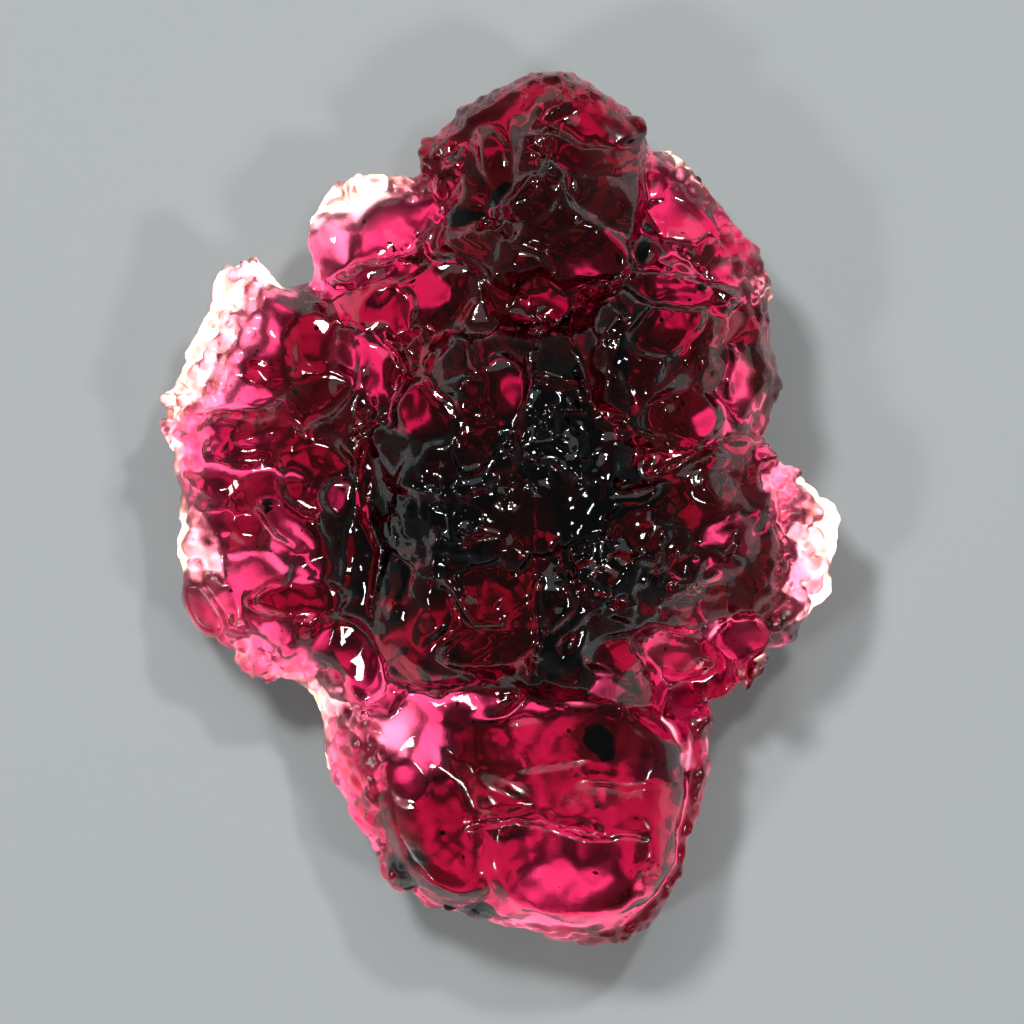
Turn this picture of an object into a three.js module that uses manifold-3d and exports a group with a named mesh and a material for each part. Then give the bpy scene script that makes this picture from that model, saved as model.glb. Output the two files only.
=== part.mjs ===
// A rough painite: one intergrown mass of red borate crystals, lying on its back.
//
// The stone is a single natural solid, so the group holds one mesh. It is joined from
// convex crystals that grew into each other: thick blocks in the middle, thin plates
// round them, prisms that run in from the rim, and rounded knobs along the rim. Then
// flat chips are broken out of its whole surface, as cleavage leaves a rough stone.
//
// Millimetres, +Z up. X runs across the broad face and Y along its longest side.
// The origin is the middle of the bounding box's floor, on the flat resting fracture.

import * as THREE from 'three';
import { ConvexGeometry } from 'three/addons/geometries/ConvexGeometry.js';
import { mergeVertices } from 'three/addons/utils/BufferGeometryUtils.js';
import Module from 'manifold-3d';

const wasm = await Module();
wasm.setup();

// Driving dimensions of the finished stone.
const WIDTH = 18.9;
const LENGTH = 24.2;
const HEIGHT = 7.8;

// The level of the thin plates' edges above the resting face.
const PLATE_LEVEL = 3.2;

// Where a block's shoulder is: the share of its rise, and of the way that its top draws in.
const SHOULDER_LEVEL = 0.55;
const SHOULDER_INSET = 0.5;

// How far a corner of a block may wander from its place, sideways and up.
const BLOCK_WANDER = 0.18;
const BLOCK_WANDER_UP = 0.34;

// A prism's radius at its far end, as a share of its width.
const PRISM_TIP = 0.42;

// A knob is a ball of this many corners, each up to this share nearer the centre.
const KNOB_CORNERS = 26;
const KNOB_WANDER = 0.14;

// Chips: how many are tried, how wide and deep they are, and how far they lean in degrees.
// Small ones are the commonest, by the power that their share of the range is raised to.
const CHIPS = 150;
const CHIP_WIDTH = [1.1, 3.0];
const CHIP_LENGTH_TO_WIDTH = [0.8, 1.6];
const CHIP_DEPTH = [0.08, 0.32];
const CHIP_LEAN = 14;
const CHIP_SIDES = 7;
const CHIP_FLARE = 1.5;
const CHIP_HEIGHT = 2;
const SMALL_CHIPS = 1.6;

// Chips get shallower below this level, where the stone is thin.
const FULL_DEPTH_LEVEL = 6;

// Chips fall along lines that cross the stone near its middle.
const AIM_REACH = [7.5, 9.5];
const AIM_LEVEL = 3.2;
const FAR_AWAY = 40;

// What stays free of chips: all below this level, which is the resting face, the broad
// face of the lower crystal, and faces more upright than this.
const RESTING_LEVEL = 0.6;
const BROAD_FACE = { above: 3.6, south: -4.4 };
const UPRIGHT = 0.5;

// The golden angle, which spreads points evenly over a ball.
const GOLDEN = Math.PI * (3 - Math.sqrt(5));

// ---------------------------------------------------------------- chance

// A repeatable number from 0 to 1 for each pair of whole numbers.
function chance(a, b) {
  const wave = Math.sin(a * 127.1 + b * 311.7) * 43758.5453;
  return wave - Math.floor(wave);
}

function wander(seed, index, reach) {
  return (chance(seed, index) - 0.5) * 2 * reach;
}

function between([low, high], share) {
  return low + (high - low) * share;
}

// ---------------------------------------------------------------- crystals

// A block: a convex crystal round an outline. Its widest line is at height waist. Above
// that it draws in to a shoulder and a top, and below it to a foot; slope tips the top.
function block({ outline, foot, waist, top, slope = [0, 0], footIn, topIn, seed }) {
  const centre = outline
    .reduce((sum, [x, y]) => [sum[0] + x, sum[1] + y], [0, 0])
    .map((total) => total / outline.length);
  const rings = [
    { level: foot, inset: footIn, loose: foot > 0 },
    { level: (foot + waist) / 2, inset: footIn * 0.4, loose: true },
    { level: waist, inset: 0, loose: false },
    { level: waist + (top - waist) * SHOULDER_LEVEL, inset: topIn * SHOULDER_INSET, loose: true },
    { level: top, inset: topIn, loose: true },
  ];
  const corners = [];
  rings.forEach(({ level, inset, loose }, ring) => {
    outline.forEach(([x, y], i) => {
      const index = ring * outline.length + i;
      const dx = x - centre[0];
      const dy = y - centre[1];
      const sideways = loose ? BLOCK_WANDER : 0;
      const share = Math.max(0, (level - waist) / (top - waist));
      corners.push(
        new THREE.Vector3(
          centre[0] + dx * (1 - inset) + wander(seed, index, sideways),
          centre[1] + dy * (1 - inset) + wander(seed + 7, index, sideways),
          level +
            share * (dx * slope[0] + dy * slope[1]) +
            (loose ? wander(seed + 13, index, BLOCK_WANDER_UP) : 0),
        ),
      );
    });
  });
  return solidOf(new ConvexGeometry(corners));
}

// A prism: a six-sided crystal from one point to another, a little thinner at its far end.
function prism({ from, to, width, turn }) {
  const start = new THREE.Vector3(...from);
  const end = new THREE.Vector3(...to);
  const along = end.clone().sub(start);
  const length = along.length();
  const geometry = new THREE.CylinderGeometry(width * PRISM_TIP, width / 2, length, 6);
  geometry.rotateY(THREE.MathUtils.degToRad(turn));
  geometry.applyQuaternion(
    new THREE.Quaternion().setFromUnitVectors(new THREE.Vector3(0, 1, 0), along.normalize()),
  );
  const middle = start.add(end).multiplyScalar(0.5);
  geometry.translate(middle.x, middle.y, middle.z);
  return solidOf(geometry);
}

// A knob: a rounded grain with many small faces.
function knob({ at, size, turn = 0, seed }) {
  const corners = [];
  for (let i = 0; i < KNOB_CORNERS; i++) {
    const up = 1 - (2 * (i + 0.5)) / KNOB_CORNERS;
    const out = Math.sqrt(1 - up * up);
    const reach = 1 - chance(seed, i) * KNOB_WANDER;
    corners.push(
      new THREE.Vector3(
        Math.cos(GOLDEN * i) * out * size[0] * reach,
        Math.sin(GOLDEN * i) * out * size[1] * reach,
        up * size[2] * reach,
      ),
    );
  }
  const geometry = new ConvexGeometry(corners);
  geometry.rotateZ(THREE.MathUtils.degToRad(turn));
  geometry.translate(...at);
  return solidOf(geometry);
}

// ---------------------------------------------------------------- solids

function solidOf(geometry) {
  const bare = geometry.clone();
  bare.deleteAttribute('normal');
  bare.deleteAttribute('uv');
  const merged = mergeVertices(bare, 1e-4);
  return new wasm.Manifold(
    new wasm.Mesh({
      numProp: 3,
      vertProperties: merged.attributes.position.array,
      triVerts: new Uint32Array(merged.index.array),
    }),
  );
}

function geometryOf(solid) {
  const mesh = solid.getMesh();
  const geometry = new THREE.BufferGeometry();
  geometry.setAttribute('position', new THREE.BufferAttribute(mesh.vertProperties, 3));
  geometry.setIndex(new THREE.BufferAttribute(mesh.triVerts, 1));
  return geometry;
}

// ---------------------------------------------------------------- the stone's crystals

// The thick blocks of the middle, which narrow steeply towards their feet.
const thickBlocks = [
  {
    // core, which all the others grow from
    outline: [[-4.1, 4.2], [-2.6, 7.2], [-0.9, 10.0], [1.8, 10.8], [4.0, 9.2], [6.4, 6.9],
      [7.2, 3.6], [7.4, -3.4], [6.0, -4.8], [-2.6, -4.8], [-4.1, -3.2]],
    foot: 0.7, waist: 3.6, top: 5.8, footIn: 0.2, topIn: 0.34, seed: 70,
  },
  {
    // crown
    outline: [[-0.95, 11.05], [0.2, 11.8], [1.1, 12.1], [2.1, 12.0], [3.6, 11.2], [4.15, 10.3],
      [4.6, 8.0], [4.0, 5.6], [0.0, 4.8], [-1.9, 6.6], [-1.35, 9.6]],
    foot: 0.9, waist: 3.5, top: 6.7, slope: [0.04, -0.12], footIn: 0.26, topIn: 0.46, seed: 1,
  },
  {
    // shoulder, upper right
    outline: [[3.2, 7.6], [5.4, 7.7], [6.5, 7.1], [7.3, 6.2], [7.55, 5.2], [7.88, 3.5],
      [7.2, 2.2], [5.3, 0.0], [1.6, 0.4], [0.4, 3.6], [1.2, 6.6]],
    foot: 0.8, waist: 3.7, top: 7.0, slope: [-0.12, 0.02], footIn: 0.26, topIn: 0.46, seed: 2,
  },
  {
    // heart, whose foot is the resting face
    outline: [[-4.0, 4.6], [-2.4, 6.3], [0.8, 7.0], [3.6, 6.0], [5.2, 3.0], [5.2, -1.0],
      [3.2, -3.6], [-0.6, -3.9], [-3.7, -2.7], [-4.15, 0.2], [-4.2, 2.4]],
    foot: 0, waist: 4.1, top: 7.6, footIn: 0.36, topIn: 0.52, seed: 3,
  },
  {
    // shelf, whose lower edge overhangs the crystal below
    outline: [[-4.15, -0.6], [-4.2, -3.2], [-3.5, -4.7], [-2.3, -5.3], [1.8, -5.45], [5.9, -5.45],
      [6.9, -5.2], [7.5, -4.4], [7.8, -3.0], [7.4, 0.4], [5.4, 2.2], [-1.0, 2.4]],
    foot: 0.7, waist: 4.1, top: 6.7, slope: [-0.03, 0.12], footIn: 0.22, topIn: 0.38, seed: 4,
  },
  {
    // flank, right of the heart
    outline: [[4.0, 3.8], [7.1, 2.4], [7.7, 1.4], [8.1, 0.2], [8.2, -1.4], [7.8, -3.2],
      [5.6, -4.0], [3.2, -0.4]],
    foot: 0.9, waist: 3.5, top: 6.1, slope: [-0.2, 0], footIn: 0.24, topIn: 0.4, seed: 5,
  },
  {
    // brow, between the left wing and the crown
    outline: [[-5.2, 5.8], [-4.4, 6.4], [-2.0, 7.6], [0.4, 7.4], [1.4, 4.6], [-1.6, 1.8], [-4.6, 2.4]],
    foot: 1.0, waist: 3.4, top: 5.9, slope: [0.2, -0.1], footIn: 0.3, topIn: 0.38, seed: 8,
  },
];

// The crystal that stands out below the shelf.
const lowerCrystal = [
  {
    // right half: a broad flat face with a steep one on its right
    outline: [[-0.6, -3.0], [-0.8, -11.3], [0.9, -11.7], [2.4, -11.9], [3.3, -11.8],
      [4.3, -11.0], [4.75, -10.0], [5.2, -8.4], [5.3, -7.0], [5.35, -5.6], [5.1, -3.0]],
    foot: 0.9, waist: 2.7, top: 4.8, footIn: 0.14, topIn: 0.13, slope: [0, 0.03], seed: 6,
  },
  {
    // left half, a step lower and thinner towards the wing
    outline: [[-3.6, -3.0], [-4.7, -5.4], [-4.65, -6.6], [-4.25, -8.0], [-3.5, -9.4], [-2.6, -10.5],
      [-1.8, -11.15], [0.3, -11.75], [1.6, -9.0], [1.2, -3.5]],
    foot: 1.0, waist: 2.5, top: 4.2, slope: [0.26, 0.05], footIn: 0.22, topIn: 0.24, seed: 7,
  },
  {
    // sill, a low ledge that runs round the right and lower edges
    outline: [[2.6, -4.0], [5.6, -4.2], [5.85, -5.7], [5.76, -7.2], [5.65, -8.6], [5.15, -10.2],
      [4.45, -11.3], [3.35, -12.15], [2.4, -12.15], [0.9, -11.95], [-0.9, -11.55], [0.4, -8.0]],
    foot: 1.4, waist: 2.3, top: 3.1, footIn: 0.14, topIn: 0.06, seed: 9,
  },
];

// Thinner plates round the middle. Their edges thin out towards the rim.
const plates = [
  {
    // left wing, upper
    outline: [[-5.2, 6.35], [-6.2, 6.4], [-7.65, 6.0], [-8.2, 5.1], [-8.75, 3.9], [-8.9, 2.8],
      [-8.0, 1.0], [-3.0, 0.6], [-1.8, 5.0], [-3.4, 6.4]],
    foot: 1.0, waist: 2.7, top: 4.3, slope: [0.36, -0.12], footIn: 0.42, topIn: 0.24, seed: 11,
  },
  {
    // left wing, middle
    outline: [[-9.05, 2.2], [-8.95, 0.9], [-8.5, 0.15], [-6.6, -1.4], [-3.0, -1.8],
      [-2.2, 3.0], [-6.8, 4.4], [-8.6, 3.6]],
    foot: 0.9, waist: 2.6, top: 4.2, slope: [0.36, 0], footIn: 0.42, topIn: 0.24, seed: 12,
  },
  {
    // left wing, lower
    outline: [[-8.3, 0.1], [-8.8, -0.8], [-8.75, -1.9], [-8.2, -2.7], [-7.1, -3.9], [-5.4, -4.5],
      [-3.0, -4.4], [-2.4, -1.0], [-3.6, 1.4], [-6.6, 1.3]],
    foot: 0.9, waist: 2.6, top: 4.2, slope: [0.34, 0.12], footIn: 0.42, topIn: 0.24, seed: 13,
  },
  {
    // web between the left wing and the crystal below
    outline: [[-6.3, -4.3], [-5.2, -5.05], [-4.5, -5.4], [-2.6, -6.0], [-1.6, -3.6], [-3.0, -2.0],
      [-5.0, -2.2]],
    foot: 1.8, waist: 2.8, top: 4.2, slope: [0.2, 0.1], footIn: 0.1, topIn: 0.2, seed: 14,
  },
  {
    // right lobe
    outline: [[6.6, 2.0], [7.9, 1.2], [8.5, 0.3], [9.2, 0.1], [9.35, -0.9], [9.05, -2.2],
      [8.4, -2.8], [8.1, -3.7], [7.4, -4.1], [5.6, -2.6], [5.4, 1.0]],
    foot: 2.3, waist: PLATE_LEVEL, top: 4.0, slope: [-0.2, 0], footIn: 0.15, topIn: 0.15, seed: 15,
  },
  {
    // upper right rim
    outline: [[2.6, 10.0], [4.8, 10.05], [5.6, 9.35], [6.3, 8.4], [6.75, 7.5], [7.35, 6.8],
      [7.5, 5.9], [5.2, 4.6], [2.0, 7.4]],
    foot: 2.4, waist: PLATE_LEVEL, top: 4.5, slope: [-0.22, -0.1], footIn: 0.15, topIn: 0.15, seed: 16,
  },
  {
    // large tab, upper left
    outline: [[-5.1, 6.0], [-5.1, 7.7], [-4.7, 8.8], [-3.8, 9.2], [-2.2, 9.1], [-0.6, 8.0],
      [-1.0, 5.0], [-4.4, 5.0]],
    foot: 2.6, waist: PLATE_LEVEL, top: 4.2, slope: [0.12, -0.3], footIn: 0.12, topIn: 0.12, seed: 17,
  },
  {
    // small tab, at the top of the left wing
    outline: [[-7.7, 5.4], [-7.6, 6.5], [-7.2, 6.9], [-6.9, 7.05], [-6.5, 7.3], [-6.15, 6.9],
      [-6.0, 6.2], [-6.0, 5.0]],
    foot: 2.6, waist: PLATE_LEVEL, top: 3.8, topIn: 0.15, footIn: 0.15, seed: 19,
  },
  {
    // ridge between the large tab and the crown
    outline: [[-2.05, 9.9], [-1.5, 10.2], [-0.9, 10.8], [0.2, 9.6], [0.0, 6.6], [-2.4, 8.0]],
    foot: 1.6, waist: 3.2, top: 4.8, slope: [0.45, 0], footIn: 0.3, topIn: 0.38, seed: 18,
  },
];

// Prisms that run in from the rim and along the broad face.
const prisms = [
  { from: [-8.2, 2.4, 3.0], to: [-3.9, 1.4, 4.7], width: 1.5, turn: 10 },
  { from: [-7.8, 0.6, 2.9], to: [-3.9, -0.4, 4.6], width: 1.3, turn: 25 },
  { from: [-7.7, 4.0, 3.1], to: [-4.2, 3.4, 4.7], width: 1.3, turn: 5 },
  { from: [-6.6, 5.6, 3.3], to: [-4.2, 4.8, 4.5], width: 1.0, turn: 15 },
  { from: [-7.2, -2.4, 3.0], to: [-3.8, -1.8, 4.6], width: 1.5, turn: 15 },
  { from: [-5.0, 5.4, 4.3], to: [-1.8, 7.2, 5.0], width: 0.9, turn: 0 },
  { from: [-3.4, -4.0, 4.9], to: [-1.4, -4.9, 4.8], width: 0.9, turn: 20 },
];

// Rounded grains along the rim, from the upper left round to the right.
const knobs = [
  { at: [-6.6, 6.7, 3.5], size: [0.5, 0.6, 0.6], seed: 21 },
  { at: [-7.25, 6.2, 3.3], size: [0.5, 0.65, 0.65], turn: 20, seed: 22 },
  { at: [-4.0, 8.75, 3.3], size: [0.75, 0.55, 0.6], seed: 23 },
  { at: [-2.75, 8.7, 3.4], size: [0.6, 0.45, 0.6], seed: 24 },
  { at: [-1.75, 9.85, 3.7], size: [0.4, 0.5, 0.55], seed: 25 },
  { at: [-8.95, 3.0, 3.0], size: [0.45, 0.55, 0.6], seed: 26 },
  { at: [-9.0, 2.2, 3.0], size: [0.45, 0.5, 0.65], seed: 27 },
  { at: [-8.6, 1.2, 2.9], size: [0.45, 0.6, 0.6], seed: 28 },
  { at: [-8.1, -0.9, 2.9], size: [0.8, 0.95, 0.95], seed: 29 },
  { at: [-8.05, -2.1, 2.8], size: [0.75, 0.85, 0.9], turn: 30, seed: 30 },
  { at: [-7.3, -3.2, 2.8], size: [0.7, 0.9, 0.8], turn: 35, seed: 31 },
  { at: [-6.4, -4.15, 2.8], size: [0.95, 0.72, 0.8], turn: -15, seed: 32 },
  { at: [-5.3, -4.55, 2.9], size: [0.65, 0.5, 0.65], seed: 33 },
  { at: [-4.75, -3.9, 3.6], size: [0.6, 0.7, 0.7], turn: 20, seed: 34 },
  { at: [-4.4, -5.5, 2.8], size: [0.55, 0.8, 0.7], turn: 10, seed: 35 },
  { at: [-4.25, -7.0, 2.7], size: [0.5, 0.7, 0.6], seed: 36 },
  { at: [-3.75, -8.4, 2.6], size: [0.5, 0.75, 0.65], turn: 15, seed: 37 },
  { at: [-2.6, -9.9, 2.9], size: [0.75, 0.9, 0.95], turn: 30, seed: 38 },
  { at: [-0.6, -11.0, 2.8], size: [0.85, 0.6, 0.8], turn: -15, seed: 39 },
  { at: [3.9, -11.2, 2.8], size: [0.7, 0.6, 0.8], turn: 40, seed: 40 },
  { at: [5.75, -5.75, 3.0], size: [0.4, 0.45, 0.6], seed: 41 },
  { at: [7.95, -3.3, 3.2], size: [0.45, 0.7, 0.6], turn: -20, seed: 42 },
  { at: [8.7, -2.1, 3.2], size: [0.6, 0.7, 0.7], seed: 43 },
  { at: [8.85, -0.6, 3.3], size: [0.6, 0.8, 0.75], seed: 44 },
  { at: [8.0, 1.0, 3.4], size: [0.35, 0.4, 0.45], seed: 45 },
  { at: [7.3, 1.4, 4.0], size: [0.5, 0.6, 0.8], seed: 46 },
  { at: [7.15, 6.1, 3.6], size: [0.45, 0.65, 0.7], seed: 47 },
  { at: [6.95, 7.15, 3.5], size: [0.35, 0.4, 0.5], seed: 48 },
  { at: [6.15, 6.9, 4.9], size: [0.85, 0.7, 0.9], turn: -30, seed: 49 },
  { at: [3.6, 10.6, 4.3], size: [0.6, 0.6, 0.8], seed: 50 },
  { at: [1.5, 11.75, 3.9], size: [0.6, 0.35, 0.7], seed: 51 },
];

// ---------------------------------------------------------------- chips

// Parts of the surface that stay whole: the resting face, the broad flat face of the
// crystal below with the edge over it, and the upright sides, which give the outline.
function keepsWhole({ point, face }) {
  const resting = point.z < RESTING_LEVEL;
  const broadFace = point.z > BROAD_FACE.above && point.y < BROAD_FACE.south;
  const upright = Math.abs(face.normal.z) < UPRIGHT;
  return resting || broadFace || upright;
}

// A chip is an uneven flat-ended block sunk into the surface where a line from outside
// meets it. It leans a little, so it leaves a slanting facet with a low step at one side.
function chipAt(hit, seed) {
  const width = between(CHIP_WIDTH, chance(seed, 1) ** SMALL_CHIPS);
  const length = width * between(CHIP_LENGTH_TO_WIDTH, chance(seed, 2));
  const thin = Math.min(1, hit.point.z / FULL_DEPTH_LEVEL);
  const depth = between(CHIP_DEPTH, chance(seed, 3)) * thin;
  const corners = [];
  for (let i = 0; i < CHIP_SIDES; i++) {
    const angle = ((i + chance(seed, 30 + i) * 0.7) / CHIP_SIDES) * Math.PI * 2;
    const x = (Math.cos(angle) * width) / 2;
    const y = (Math.sin(angle) * length) / 2;
    corners.push(
      new THREE.Vector3(x, y, -depth),
      new THREE.Vector3(x * CHIP_FLARE, y * CHIP_FLARE, CHIP_HEIGHT),
    );
  }
  const chip = new ConvexGeometry(corners);
  chip.rotateX(THREE.MathUtils.degToRad(wander(seed, 4, CHIP_LEAN)));
  chip.rotateY(THREE.MathUtils.degToRad(wander(seed, 5, CHIP_LEAN)));
  chip.rotateZ(chance(seed, 6) * Math.PI * 2);
  chip.applyQuaternion(
    new THREE.Quaternion().setFromUnitVectors(new THREE.Vector3(0, 0, 1), hit.face.normal),
  );
  chip.translate(hit.point.x, hit.point.y, hit.point.z);
  return solidOf(chip);
}

function chipped(mass) {
  const target = new THREE.Mesh(geometryOf(mass));
  target.geometry.computeVertexNormals();
  const ray = new THREE.Raycaster();
  let left = mass;
  for (let i = 0; i < CHIPS; i++) {
    const up = 1 - (2 * (i + 0.5)) / CHIPS;
    const out = Math.sqrt(1 - up * up);
    const aim = new THREE.Vector3(
      wander(i, 21, AIM_REACH[0]),
      wander(i, 22, AIM_REACH[1]),
      AIM_LEVEL,
    );
    const away = new THREE.Vector3(Math.cos(GOLDEN * i) * out, Math.sin(GOLDEN * i) * out, up);
    ray.set(aim.clone().addScaledVector(away, FAR_AWAY), away.clone().negate());
    const [hit] = ray.intersectObject(target);
    if (hit && !keepsWhole(hit)) left = left.subtract(chipAt(hit, i));
  }
  // Only the largest body is the stone: the others are flakes that a chip cut free.
  return left.decompose().reduce((a, b) => (a.volume() > b.volume() ? a : b));
}

// ---------------------------------------------------------------- assembly

function crystalMass() {
  const crystals = [
    ...thickBlocks.map(block),
    ...lowerCrystal.map(block),
    ...plates.map(block),
    ...prisms.map(prism),
    ...knobs.map(knob),
  ];
  return crystals.reduce((mass, crystal) => mass.add(crystal));
}

// Sets the stone to its stated size, with its floor's middle at the origin.
function settle(geometry) {
  geometry.computeBoundingBox();
  const { min, max } = geometry.boundingBox;
  geometry.translate(-(min.x + max.x) / 2, -(min.y + max.y) / 2, -min.z);
  geometry.scale(WIDTH / (max.x - min.x), LENGTH / (max.y - min.y), HEIGHT / (max.z - min.z));
  return geometry;
}

const painiteFinish = new THREE.MeshStandardMaterial({
  color: 0xa3122f,
  roughness: 0.15,
  metalness: 0,
});

const stone = new THREE.Mesh(settle(geometryOf(chipped(crystalMass()))), painiteFinish);
stone.name = 'painite_crystal_mass';

const roughPainite = new THREE.Group();
roughPainite.add(stone);

export default roughPainite;
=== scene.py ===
import math
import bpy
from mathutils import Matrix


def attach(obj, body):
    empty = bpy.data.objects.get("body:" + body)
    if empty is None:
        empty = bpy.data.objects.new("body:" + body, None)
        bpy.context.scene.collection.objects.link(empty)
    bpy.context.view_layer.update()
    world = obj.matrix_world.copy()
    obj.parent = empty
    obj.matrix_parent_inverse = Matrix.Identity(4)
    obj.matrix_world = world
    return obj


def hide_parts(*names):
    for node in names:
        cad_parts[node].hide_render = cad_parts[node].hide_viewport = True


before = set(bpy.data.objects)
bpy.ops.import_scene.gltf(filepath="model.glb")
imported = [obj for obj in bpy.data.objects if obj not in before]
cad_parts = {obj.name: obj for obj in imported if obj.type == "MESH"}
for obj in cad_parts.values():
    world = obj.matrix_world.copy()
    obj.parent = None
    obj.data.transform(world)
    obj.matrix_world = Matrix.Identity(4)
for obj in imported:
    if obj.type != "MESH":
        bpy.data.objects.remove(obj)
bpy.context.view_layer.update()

from concurrent.futures import ThreadPoolExecutor

import bpy
import numpy as np
import openvdb
from mathutils import Vector

NODE = "painite_crystal_mass"
MM = 0.001

# The stone is worked out on a grid of distances to its surface, in mm.
VOXEL = 0.09
BAND = 0.8  # distances are kept up to this far from the surface
MARGIN = 0.9  # empty grid around the body's box
MOST_TRIANGLES = 196000
THREADS = 4
SIDE = 32  # the noise repeats after this many cells

WAIST = 3.2  # the level where the outline is widest
SUMMIT = 7.8
DOME = 0.35  # how far the walls are steepened and the tops flattened
STEP = 0.6  # a flank of the top rises this far at once
FLANK = 0.95  # and no more steeply than this past it
EDGE_LEVEL = 5.6  # the top's highest level at the outline
PANE = 0.95  # the size of the patches of even thickness
WINDOW = (2.4, 4.8)  # the planned thicknesses that glow red

# The crystal: light lost per metre in red, green and blue, for thicknesses scaled by THICKNESS.
IOR = 1.79
THICKNESS = 0.8
ABSORPTION = (680.0, 2040.0, 1200.0)
DENSITY = 2800.0
CLEAN = (1.0, 0.92, 0.60, 1)
STAINED = (0.55, 0.33, 0.17, 1)
# painted shade: the dark red-brown colour laid on the walls of the outline, where the edges look dark
EDGE_SHADE_COLOUR = (0.12, 0.03, 0.03, 1)
POLISH, FROST = 0.03, 0.5
STAIN_SCALE = 2600.0
PIT_SCALE = 5200.0
PIT_DEPTH = 0.000005
INK = (0.010, 0.012, 0.006, 1)

# The stage, in metres and in watts per square metre and steradian.
PAPER = (0.86, 0.88, 0.87, 1)
PAPER_RADIUS = 2.5
PAPER_LEVEL = -0.00006
GLOW_LEVEL = -0.00003
GLOW_SIZE = (0.036, 0.0414)
GLOW_RADIANCE = 7.5
SOFTBOX_DISTANCE = 0.5
SOFTBOX_COLOUR = (0.94, 0.98, 1.0)
VIEW_DISTANCE = 0.30
VIEW_LEVEL = 0.0032
VIEW_WIDTH = 0.02844
VIEW_SIDEWAYS = 0.00043
SENSOR = 36.0


# ------------------------------------------------------------------ noise


def smooth(low, high, x):
    """Rises softly from 0 at low to 1 at high."""
    t = np.clip((x - low) / (high - low), 0.0, 1.0)
    return t * t * (3.0 - 2.0 * t)


def mix(a, b, share):
    """Goes from a, where the share is 0, to b, where it is 1."""
    return a + (b - a) * share


def threaded(function):
    """Runs a function of points on slices of them at once, and joins what it returns."""

    def run(p, *rest):
        slices = np.array_split(p, THREADS)
        with ThreadPoolExecutor(THREADS) as pool:
            parts = list(pool.map(lambda s: function(s, *rest), slices))
        if isinstance(parts[0], tuple):
            return tuple(np.concatenate(column) for column in zip(*parts))
        return np.concatenate(parts)

    return run


def lattice(seed, channels):
    """The numbers at the corners of the noise's cells."""
    rng = np.random.default_rng(seed)
    return rng.random((SIDE**3, channels), dtype=np.float32)


@threaded
def wave(p, size, seed, channels=1):
    """Smooth noise from -1 to 1 with features of about this size."""
    table = lattice(seed, channels) * 2.0 - 1.0
    q = p / np.float32(size)
    base = np.floor(q)
    f = q - base
    f = f * f * (3.0 - 2.0 * f)
    base = base.astype(np.int32)
    corner = [[(base[:, a] + d) % SIDE * SIDE ** (2 - a) for d in (0, 1)] for a in range(3)]
    share = [[1.0 - f[:, a], f[:, a]] for a in range(3)]
    out = np.zeros((len(p), channels), dtype=np.float32)
    for i in (0, 1):
        for j in (0, 1):
            for k in (0, 1):
                w = share[0][i] * share[1][j] * share[2][k]
                out += w[:, None] * table[corner[0][i] + corner[1][j] + corner[2][k]]
    return out[:, 0] if channels == 1 else out


@threaded
def cells(p, size, seed):
    """For points scattered this far apart: how far the nearest two are, their offsets and numbers."""
    table = lattice(seed, 3)
    q = p / np.float32(size)
    base = np.floor(q)
    f = (q - base).astype(np.float32)
    base = base.astype(np.int32)
    corner = [[(base[:, a] + d) % SIDE * SIDE ** (2 - a) for d in (-1, 0, 1)] for a in range(3)]
    near = np.full(len(p), 9.0, dtype=np.float32)
    second = near.copy()
    offset = np.zeros((len(p), 3), dtype=np.float32)
    which = np.zeros(len(p), dtype=np.int32)
    offset_2 = offset.copy()
    which_2 = which.copy()
    for i in range(3):
        for j in range(3):
            for k in range(3):
                index = corner[0][i] + corner[1][j] + corner[2][k]
                d = f - table[index] - np.array((i - 1, j - 1, k - 1), dtype=np.float32)
                r = np.einsum("ij,ij->i", d, d)
                closer = r < near
                between = (r < second) & ~closer
                second[closer] = near[closer]
                offset_2[closer] = offset[closer]
                which_2[closer] = which[closer]
                near[closer] = r[closer]
                offset[closer] = d[closer]
                which[closer] = index[closer]
                second[between] = r[between]
                offset_2[between] = d[between]
                which_2[between] = index[between]
    return np.sqrt(near), np.sqrt(second), offset, which, offset_2, which_2


# ------------------------------------------------------------------ the grid


def level_set():
    """The distances from the body's surface over the grid, negative inside, and the grid's low corner."""
    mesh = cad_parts[NODE].data
    mesh.calc_loop_triangles()
    points = np.zeros(len(mesh.vertices) * 3, dtype=np.float32)
    mesh.vertices.foreach_get("co", points)
    tris = np.zeros(len(mesh.loop_triangles) * 3, dtype=np.int32)
    mesh.loop_triangles.foreach_get("vertices", tris)
    points = points.reshape(-1, 3) / MM
    low = np.floor((points.min(0) - MARGIN) / VOXEL).astype(int)
    high = np.ceil((points.max(0) + MARGIN) / VOXEL).astype(int)
    grid = openvdb.FloatGrid.createLevelSetFromPolygons(
        points,
        triangles=tris.reshape(-1, 3).astype(np.uint32),
        transform=openvdb.createLinearTransform(voxelSize=VOXEL),
        halfWidth=BAND / VOXEL + 2,
    )
    phi = np.zeros(high - low + 1, dtype=np.float32)
    grid.copyToArray(phi, ijk=tuple(int(v) for v in low))
    return phi, low


@threaded
def sample(q, phi):
    """The grid's value at places between its points."""
    q = np.clip(q, 0, np.array(phi.shape) - 1.001)
    base = q.astype(np.int32)
    f = (q - base).astype(np.float32)
    share = [[1.0 - f[:, a], f[:, a]] for a in range(3)]
    out = np.zeros(len(q), dtype=np.float32)
    for i in (0, 1):
        for j in (0, 1):
            for k in (0, 1):
                w = share[0][i] * share[1][j] * share[2][k]
                out += w * phi[base[:, 0] + i, base[:, 1] + j, base[:, 2] + k]
    return out


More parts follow.
